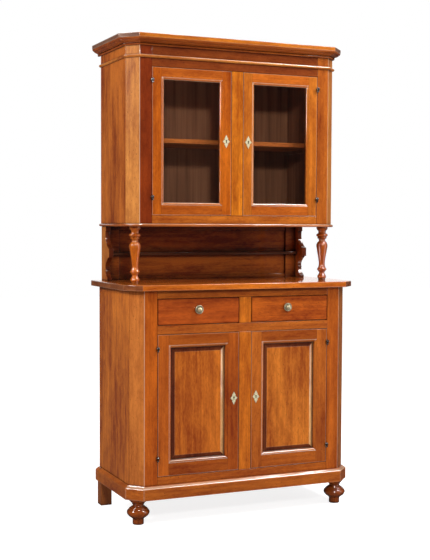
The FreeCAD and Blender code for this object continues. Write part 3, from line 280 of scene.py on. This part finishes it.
finish_node("base_bottom_rail", stained_wood("bottom rail of the base", "X", 30, (190, 92, 26)))
finish_node("base_mid_rail", stained_wood("middle rail of the base", "X", 31, (190, 93, 29)))
# Darkened under the countertop's overhang, partly as painted shade.
finish_node("base_top_rail", stained_wood("top rail of the base", "X", 32, (182, 88, 26), glaze_and_shade_reach=0.03))
finish_node("base_centre_stiles", stained_wood("centre stile of the base", "Z", 34, (217, 111, 27)))

# ---------------------------------------------------------------------------------------------
# Inside and back of the base: floor, loose shelf, back boards and the runners that carry the
# drawers. Softwood, planed and nailed or glued in place, plain or with one thin coat of stain.


def plain_wood(name, grain, seed, colour):
    """Planed softwood with no polish."""
    material = bpy.data.materials.new(name)
    material.use_nodes = True
    tree = material.node_tree
    surface = tree.nodes["Principled BSDF"]
    draw = random.Random(seed)
    space = grain_space(tree, grain, None)[0]
    shift = [draw.uniform(-3, 3) for _ in range(3)]

    def cloud(across, along, detail, **more):
        sockets = {"Vector": space, "Location": shift, "Scale": (across, across, along)}
        stretched = put(tree, "ShaderNodeMapping", sockets).outputs[0]
        sockets = {"Vector": stretched, "Scale": 1.0, "Detail": detail, **more}
        return put(tree, "ShaderNodeTexNoise", sockets).outputs[0]

    streak = cloud(75, 2, 4.0, Roughness=0.6)
    broad = cloud(12, 0.9, 2.0, Distortion=1.4)
    red, green, blue = colour
    pale = rgb(red * 1.08, green * 1.08, blue * 1.08)
    deep = rgb(red * 0.80, green * 0.76, blue * 0.72)
    mixed = sums(tree, "MULTIPLY_ADD", streak, 0.5, sums(tree, "MULTIPLY", broad, 0.5))
    tree.links.new(blend(tree, ramp(tree, mixed, 0.38, 0.64), pale, deep), surface.inputs["Base Color"])
    bump = put(tree, "ShaderNodeBump", {"Strength": 0.12, "Distance": 0.0005, "Height": streak}).outputs[0]
    tree.links.new(bump, surface.inputs["Normal"])
    surface.inputs["Roughness"].default_value = 0.6
    surface.inputs["Specular IOR Level"].default_value = 0.2
    return material


finish_node("base_floor", plain_wood("floor of the base", "X", 41, (150, 84, 40)))
finish_node("base_shelf", plain_wood("shelf of the base", "X", 42, (160, 92, 44)))
finish_node("base_back_boards", plain_wood("back boards of the base", "Z", 43, (168, 112, 66)))
finish_node("drawer_runners", plain_wood("runners", "Y", 44, (178, 130, 82)))

# ---------------------------------------------------------------------------------------------
# Plinth: boards with a moulded upper edge, mitred round the canted corners, on turned bun feet
# in front and square blocks behind. Fruitwood, glued and blocked from inside.

# The upper edge is painted pale, as a painted highlight and as worn polish.
finish_node("plinth", stained_wood("plinth", "round", 50, (181, 88, 26), worn=0.2, nose_highlight=0.8), edge=0)
# The turned feet darken towards their outline as painted shade.
finish_node("feet_front", stained_wood("turned feet", "Z", 51, (156, 70, 20), turned=True), edge=0)
finish_node("feet_rear", stained_wood("block feet", "Z", 52, (150, 76, 34)))

# ---------------------------------------------------------------------------------------------
# Doors of the base: a frame of two uprights and two rails, a moulding mitred inside it, and a
# raised panel held loose in grooves. Fruitwood, the panels chosen for their figure.

PANEL_TONGUE = 0.007


def spans(name, less=0.0):
    """The box of a node in X and in Z, made smaller all round by a margin."""
    low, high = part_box(name)
    return low.x + less, high.x - less, low.z + less, high.z - less


for side, seed, stile_colour, rail_colour, panel_colour in (
    ("left", 60, (186, 85, 22), (180, 84, 22), (202, 101, 30)),
    ("right", 64, (190, 93, 29), (182, 86, 24), (203, 105, 34)),
):
    window = [spans(f"base_door_{side}_panel", PANEL_TONGUE), spans(f"base_door_{side}_frame")]
    # Moulding and outer arris painted pale as worn polish and painted highlight, hollows darkened partly as
    # painted shade.
    finish_node(f"base_door_{side}_frame", stained_wood(
        f"frame of the {side} base door", "framed", seed, stile_colour, window, rail_colour,
        nose_highlight=0.7, glaze_and_shade_reach=0.02))
    # The panel's slopes carry painted shade and, on the right, a painted highlight; its hollows are
    # darkened partly as painted shade.
    finish_node(f"base_door_{side}_panel", stained_wood(
        f"panel of the {side} base door", "Z", seed + 1, panel_colour,
        shaded_and_lit_bevels=((116, 50, 23), (232, 154, 98)), figure=1.2, worn=0.4, glaze_and_shade_reach=0.035))

# ---------------------------------------------------------------------------------------------
# Drawers: a solid fruitwood front with level grain, over a plain softwood box with its bottom
# let in. Each runs on rails at its sides.

for side, seed, front_colour in (("left", 80, (175, 72, 20)), ("right", 81, (190, 84, 22))):
    finish_node(f"drawer_{side}_front", stained_wood(
        f"front of the {side} drawer", "X", seed, front_colour, figure=1.3, grime=0.9))
    finish_node(f"drawer_{side}_box", plain_wood(
        f"box of the {side} drawer", "Y", seed + 2, (190, 148, 98)))

# ---------------------------------------------------------------------------------------------
# Knobs and escutcheons: cast brass, the knobs screwed on and the escutcheons pinned. They are
# browned in the hollows and rubbed pale on the high places.


def aged_brass(name, metallic):
    """Cast brass; the less it is metallic, the duller its old lacquer has gone."""
    material = bpy.data.materials.new(name)
    material.use_nodes = True
    tree = material.node_tree
    surface = tree.nodes["Principled BSDF"]
    place = put(tree, "ShaderNodeTexCoord").outputs["Object"]
    cloud = put(tree, "ShaderNodeTexNoise", {
        "Vector": place, "Scale": 140.0, "Detail": 4.0, "Roughness": 0.6}).outputs[0]
    hollow = put(tree, "ShaderNodeAmbientOcclusion", {"Distance": 0.008}, samples=8).outputs["AO"]
    clean = sums(tree, "MULTIPLY", ramp(tree, hollow, 0.55, 0.96), ramp(tree, cloud, 0.30, 0.6, 0.75, 1.0))
    tree.links.new(blend(tree, clean, rgb(24, 17, 8), rgb(255, 242, 198)), surface.inputs["Base Color"])
    tree.links.new(ramp(tree, clean, 0.0, 1.0, 0.5, 0.18), surface.inputs["Roughness"])
    surface.inputs["Metallic"].default_value = metallic
    return material


brass = aged_brass("aged brass", 0.2)
turned_brass = aged_brass("turned brass", 0.6)
for side in ("left", "right"):
    finish_node(f"drawer_{side}_knob", turned_brass, edge=0)
    finish_node(f"base_door_{side}_escutcheon", brass, edge=0.0002)
    finish_node(f"hutch_door_{side}_escutcheon", brass, edge=0.0002)

# ---------------------------------------------------------------------------------------------
# Hinges and locks: small ball hinges let into the edges of door and post, and closed lock cases
# let into the doors. Iron, oiled dark and worn bright on the balls.


def dark_iron(name):
    """Oiled iron, mottled where the oil has worn through."""
    material = bpy.data.materials.new(name)
    material.use_nodes = True
    tree = material.node_tree
    surface = tree.nodes["Principled BSDF"]
    place = put(tree, "ShaderNodeTexCoord").outputs["Object"]
    cloud = put(tree, "ShaderNodeTexNoise", {"Vector": place, "Scale": 260.0, "Detail": 3.0}).outputs[0]
    worn = ramp(tree, cloud, 0.35, 0.70)
    tree.links.new(blend(tree, worn, rgb(44, 40, 37), rgb(166, 160, 154)), surface.inputs["Base Color"])
    tree.links.new(ramp(tree, worn, 0.0, 1.0, 0.34, 0.20), surface.inputs["Roughness"])
    surface.inputs["Metallic"].default_value = 1.0
    return material


iron = dark_iron("oiled iron")
for door in ("base_door_left", "base_door_right", "hutch_door_left", "hutch_door_right"):
    finish_node(f"{door}_ironwork", iron, edge=0)
finish_node("post_hinges", iron, edge=0)

# ---------------------------------------------------------------------------------------------
# Countertop: a wide board glued up from fruitwood lengths, with canted front corners and
# softened edges. It lies on the base, and the stain has sunk deeper into its end grain.

finish_node("countertop", stained_wood(
    "countertop", "X", 100, (212, 105, 27), ends=(140, 74, 40), worn=0.3))

# ---------------------------------------------------------------------------------------------
# Niche: turned balusters in front and scroll-sawn brackets behind carry the hutch. Behind them
# a dark level-grained board is framed by strips, with a narrow ledge before it. The board is
# darkened up to 80 mm from the parts round it, partly as glaze and partly as painted shade, and
# the balusters are darkened towards their outline as painted shade.

for side, seed, polish, sawn_edge in (
    ("left", 110, (184, 86, 12), (190, 106, 44)),
    ("right", 111, (172, 76, 10), (176, 90, 34)),
):
    finish_node(f"baluster_{side}", stained_wood(
        f"{side} baluster", "Z", seed, polish, figure=1.5, turned=True), edge=0)
    finish_node(f"niche_bracket_{side}", stained_wood(
        f"{side} bracket", "Z", seed + 2, (98, 40, 16), ends=sawn_edge))
# Darkened up to 80 mm from the parts round it, partly as glaze and partly as painted shade.
finish_node("niche_back", stained_wood(
    "back of the niche", "X", 114, (150, 72, 21), figure=1.8, glaze_and_shade_reach=0.08))
finish_node("niche_shelf", stained_wood("ledge in the niche", "X", 115, (84, 50, 34), gloss=0.2))

# ---------------------------------------------------------------------------------------------
# Carcase of the hutch: a thin moulded base board, sides, canted corner boards with their front
# returns, rails and a centre stile. Fruitwood boards, glued, each with its own tone. The pale
# canted faces and the dark left return hold painted sheen and painted shade as well as board
# tone, the dark frieze holds the painted shadow of the cornice, and the base board's rounded
# nose carries a painted highlight.

HUTCH_CANT_START = -0.452
# The rounded nose carries a painted highlight.
finish_node("hutch_base_board", stained_wood(
    "base board of the hutch", "round", 120, (176, 88, 30), worn=0.2, nose_highlight=1.0))
finish_node("hutch_side_left", stained_wood("hutch side, left", "Z", 121, (187, 94, 34), figure=1.3))
finish_node("hutch_side_right", stained_wood("hutch side, right", "Z", 122, (174, 94, 36), figure=1.3))
# Pale canted face and dark return: board tone with painted sheen and painted shade.
finish_node("hutch_post_left", stained_wood(
    "hutch corner, left", "Z", 123, (198, 116, 54), second=(137, 49, 12), split=HUTCH_CANT_START))
finish_node("hutch_post_right", stained_wood(
    "hutch corner, right", "Z", 124, (180, 87, 25), second=(206, 122, 52), split=-HUTCH_CANT_START))
finish_node("hutch_bottom_rail", stained_wood("bottom rail of the hutch", "X", 125, (201, 104, 32)))
# The frieze's dark colour and its darkening under the cornice are partly painted shadow of the cornice.
finish_node("hutch_frieze_rail", stained_wood(
    "frieze of the hutch", "X", 126, (139, 60, 19), glaze_and_shade_reach=0.06), edge=0.0004)
finish_node("hutch_centre_stile", stained_wood("centre stile of the hutch", "Z", 127, (215, 114, 25)))

# ---------------------------------------------------------------------------------------------
# Inside of the hutch: floor, linings beside the doors, a loose shelf and upright back boards.
# Softwood with a thin dark stain, nailed in, and a polished edge on the shelf alone.

finish_node("hutch_floor", plain_wood("floor of the hutch", "X", 131, (112, 70, 44)))
finish_node("hutch_lining", plain_wood("linings of the hutch", "Z", 132, (140, 90, 62)))
finish_node("hutch_back_boards", plain_wood("back boards of the hutch", "Z", 133, (150, 98, 68)))
finish_node("hutch_shelf", stained_wood("shelf of the hutch", "X", 134, (186, 98, 44), gloss=0.3))

# ---------------------------------------------------------------------------------------------
# Doors of the hutch: slim fruitwood frames with a fine moulding round one sheet of clear glass,
# which is held from behind by beads. Light passes the glass without a shadow.

glass = bpy.data.materials.new("clear glass")
glass.use_nodes = True
pane = glass.node_tree
clear = pane.nodes["Principled BSDF"]
clear.inputs["Base Color"].default_value = (0.97, 0.985, 0.98, 1)
clear.inputs["Roughness"].default_value = 0.0
clear.inputs["IOR"].default_value = 1.45
clear.inputs["Transmission Weight"].default_value = 1.0
let_through = put(pane, "ShaderNodeBsdfTransparent", {"Color": (0.95, 0.97, 0.96, 1)})
light_path = put(pane, "ShaderNodeLightPath")
passing = sums(pane, "MAXIMUM", light_path.outputs["Is Shadow Ray"], light_path.outputs["Is Diffuse Ray"])
either = put(pane, "ShaderNodeMixShader", {0: passing, 1: clear.outputs[0], 2: let_through.outputs[0]})
pane.links.new(either.outputs[0], pane.nodes["Material Output"].inputs["Surface"])

for side, seed, stile_colour, rail_colour in (
    ("left", 140, (195, 91, 18), (190, 90, 24)),
    ("right", 144, (201, 105, 30), (196, 94, 26)),
):
    window = [spans(f"hutch_door_{side}_glass"), spans(f"hutch_door_{side}_frame")]
    # Moulding and outer arris painted pale as worn polish and painted highlight, hollows darkened partly as
    # painted shade.
    finish_node(f"hutch_door_{side}_frame", stained_wood(
        f"frame of the {side} hutch door", "framed", seed, stile_colour, window, rail_colour,
        nose_highlight=0.7, glaze_and_shade_reach=0.02))
    finish_node(f"hutch_door_{side}_glass", glass, edge=0)

# ---------------------------------------------------------------------------------------------
# Top of the hutch: a half-round bead round the frieze, a cornice moulding mitred at the canted
# corners, and a board over it. Fruitwood lengths, glued and pinned.

# The bead's upper round carries a painted highlight.
finish_node("frieze_bead", stained_wood("frieze bead", "round", 150, (206, 118, 48), nose_highlight=0.5), edge=0)
# The moulding's coves are darkened partly as glaze, partly as painted shade.
finish_node("cornice_moulding", stained_wood(
    "cornice moulding", "round", 151, (168, 78, 24), glaze_and_shade_reach=0.03), edge=0)
# The grey-brown of its ends and canted faces is partly darker end grain, partly a painted reflection.
finish_node("cornice_board", stained_wood(
    "cornice board", "X", 152, (204, 108, 30), ends=(128, 84, 66), worn=0.3))

# ---------------------------------------------------------------------------------------------
# Studio floor: a pale matt sheet, wide enough that its edge is never seen. It shows as white,
# and takes the soft shadow that the piece throws round its feet.

floor_mesh = bpy.data.meshes.new("studio floor")
floor_mesh.from_pydata([(-14, -14, 0), (14, -14, 0), (14, 14, 0), (-14, 14, 0)], [], [(0, 1, 2, 3)])
floor = bpy.data.objects.new("studio_floor", floor_mesh)
bpy.context.collection.objects.link(floor)
paper = bpy.data.materials.new("pale paper")
paper.use_nodes = True
sheet = paper.node_tree
matt = sheet.nodes["Principled BSDF"]
matt.inputs["Base Color"].default_value = (0.55, 0.55, 0.55, 1)
matt.inputs["Roughness"].default_value = 1.0
matt.inputs["Specular IOR Level"].default_value = 0.0
seen = put(sheet, "ShaderNodeLightPath")
once = sums(sheet, "LESS_THAN", seen.outputs["Glossy Depth"], 0.5)
through = sums(sheet, "MULTIPLY", seen.outputs["Is Transmission Ray"], once)
bright = sums(sheet, "MAXIMUM", seen.outputs["Is Camera Ray"], through)
from_middle = {0: put(sheet, "ShaderNodeTexCoord").outputs["Object"]}
spot = put(sheet, "ShaderNodeVectorMath", from_middle, operation="LENGTH")
paler = ramp(sheet, spot.outputs["Value"], 1.0, 3.0, 0.84, 1.0)
shining = sums(sheet, "MULTIPLY", bright, paler)
glow = put(sheet, "ShaderNodeEmission", {"Color": (1, 1, 1, 1), "Strength": shining})
lit = put(sheet, "ShaderNodeAddShader", {0: matt.outputs[0], 1: glow.outputs[0]})
dim = put(sheet, "ShaderNodeEmission", {"Color": (1, 1, 1, 1), "Strength": 0.05})
mirrored = sums(sheet, "MULTIPLY", seen.outputs["Is Glossy Ray"], sums(sheet, "SUBTRACT", 1.0, through))
both = put(sheet, "ShaderNodeMixShader", {0: mirrored, 1: lit.outputs[0], 2: dim.outputs[0]})
sheet.links.new(both.outputs[0], sheet.nodes["Material Output"].inputs["Surface"])
floor_mesh.materials.append(paper)

# ---------------------------------------------------------------------------------------------
# Studio air and backdrop: white wherever it is looked at or seen through glass. Polish and metal
# show the white paper that hangs behind the piece, and a dim room elsewhere.

world = bpy.data.worlds.new("studio")
world.use_nodes = True
bpy.context.scene.world = world
air = world.node_tree
facing = put(air, "ShaderNodeTexCoord").outputs["Generated"]
BEHIND = (0.405, 0.914, 0.0)
towards = put(air, "ShaderNodeVectorMath", {0: facing, 1: BEHIND}, operation="DOT_PRODUCT")
backdrop = ramp(air, towards.outputs["Value"], 0.84, 0.94, 0.03, 1.0)
path = put(air, "ShaderNodeLightPath")
mirrored = sums(air, "GREATER_THAN", path.outputs["Glossy Depth"], 0.5)
through = sums(air, "MULTIPLY", path.outputs["Is Transmission Ray"], sums(air, "SUBTRACT", 1.0, mirrored))
white = sums(air, "MAXIMUM", path.outputs["Is Camera Ray"], through)
polish = sums(air, "MAXIMUM", path.outputs["Is Glossy Ray"], path.outputs["Is Transmission Ray"])
strength = sums(air, "MAXIMUM", white, ramp(air, polish, 0.0, 1.0, 0.10, backdrop))
background = air.nodes["Background"]
air.links.new(strength, background.inputs["Strength"])
background.inputs["Color"].default_value = (1, 1, 1, 1)

# ---------------------------------------------------------------------------------------------
# Lamps: softboxes high on the right, on the left and behind, and a tall dim reflector far right.
# A small one beside the camera looks into the cupboards, and a strip overhead draws the light
# lines along the mouldings.


def softbox(name, place, aim, width, height, power):
    """A rectangular diffused lamp that faces a point."""
    lamp = bpy.data.lights.new(name, "AREA")
    lamp.shape = "RECTANGLE"
    lamp.size, lamp.size_y, lamp.energy = width, height, power
    holder = bpy.data.objects.new(name, lamp)
    holder.location = place
    holder.rotation_euler = (Vector(aim) - Vector(place)).to_track_quat("-Z", "Y").to_euler()
    bpy.context.collection.objects.link(holder)


MIDDLE = (0, 0, 1.2)
softbox("key softbox", (2.1, -2.1, 4.0), MIDDLE, 1.0, 1.0, 82)
softbox("left softbox", (-3.3, -0.5, 2.5), (-0.4, 0, 1.1), 0.9, 1.1, 76)
softbox("overhead strip", (1.5, -0.8, 3.6), (1.1, 0.0, 0.6), 2.1, 0.3, 32)
softbox("right reflector", (2.5, -2.0, 1.4), MIDDLE, 1.0, 2.8, 16)
softbox("small softbox", (-1.45, -4.6, 2.85), MIDDLE, 0.35, 0.35, 74)
softbox("back softbox", (0.3, 2.4, 4.0), (0, 0.3, 1.0), 1.2, 1.2, 70)

# ---------------------------------------------------------------------------------------------
# Camera: a long lens at chest height, set to the left of the piece and level with its middle,
# so that the front, the left side and the canted corner between them all show.

camera_data = bpy.data.cameras.new("camera")
camera_data.lens = 71.4
camera_data.sensor_width = 36.0
camera = bpy.data.objects.new("camera", camera_data)
heading = Matrix.Rotation(-0.4172, 4, "Z")
pitch = Matrix.Rotation(math.pi / 2 - 0.0497, 4, "X")
roll = Matrix.Rotation(0.004, 4, "Z")
camera.matrix_world = Matrix.Translation((-2.0611, -4.5529, 1.2633)) @ heading @ pitch @ roll
bpy.context.collection.objects.link(camera)
bpy.context.scene.camera = camera
bpy.context.scene.view_settings.view_transform = "Standard"
